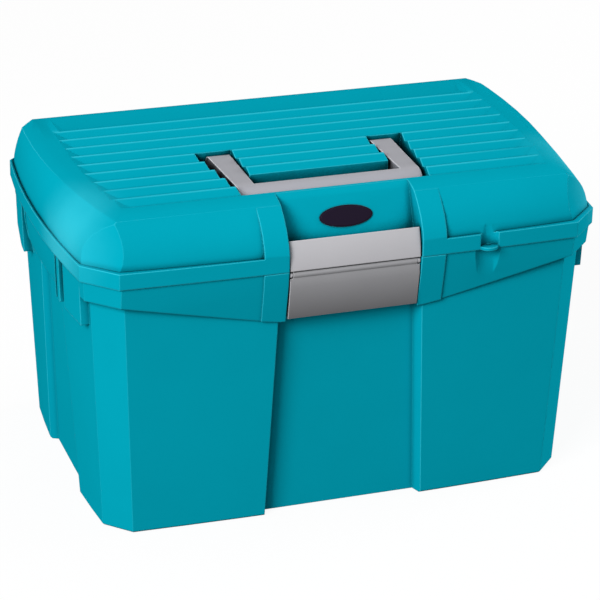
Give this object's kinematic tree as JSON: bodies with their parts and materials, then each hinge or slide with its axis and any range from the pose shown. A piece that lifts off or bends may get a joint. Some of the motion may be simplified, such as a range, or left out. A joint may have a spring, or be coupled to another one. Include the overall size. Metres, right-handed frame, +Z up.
{
  "type": "horse grooming box",
  "caption": "Moulded grooming box with a ribbed domed lid on rear hinges, a fold-down carrying handle, a wide front latch flap and a lift-out tray.",
  "frame": {"origin": "middle of the flat base, on the surface it stands on", "axes": "+Z up, -Y towards the front with the latch, +X to the right seen from the front"},
  "size_m": [0.4, 0.2753, 0.2435],
  "materials": {
    "tub_plastic": "fine moulded grain",
    "lid_plastic": "fine moulded grain",
    "grey_plastic": "satin",
    "tray_plastic": "fine moulded grain",
    "badge_black": "gloss",
    "pin_steel": "drawn wire"
  },
  "bodies": {
    "tub": {"tub": "tub_plastic", "hinge_pin_left": "pin_steel", "hinge_pin_right": "pin_steel"},
    "lid": {"lid": "lid_plastic", "latch_plate": "grey_plastic", "latch_pin": "pin_steel", "badge": "badge_black"},
    "handle": {"handle": "grey_plastic"},
    "latch": {"latch_flap": "grey_plastic"},
    "tray": {"tray": "tray_plastic"}
  },
  "joints": [
    {"name": "lid_hinge", "type": "hinge", "parent": "tub", "child": "lid", "pos_m": [0, 0.1345, 0.1969], "axis": [-1, 0, 0], "range_deg": [0, 100]},
    {"name": "handle_pivot", "type": "hinge", "parent": "lid", "child": "handle", "pos_m": [0, -0.009, 0.235], "axis": [-1, 0, 0], "range_deg": [0, 90]},
    {"name": "latch_hinge", "type": "hinge", "parent": "lid", "child": "latch", "pos_m": [0, -0.1293, 0.1942], "axis": [-1, 0, 0], "range_deg": [0, 90]},
    {"name": "tray_lift", "type": "slide", "parent": "tub", "child": "tray", "axis": [0, 0, 1], "range_m": [0, 0.025]}
  ]
}
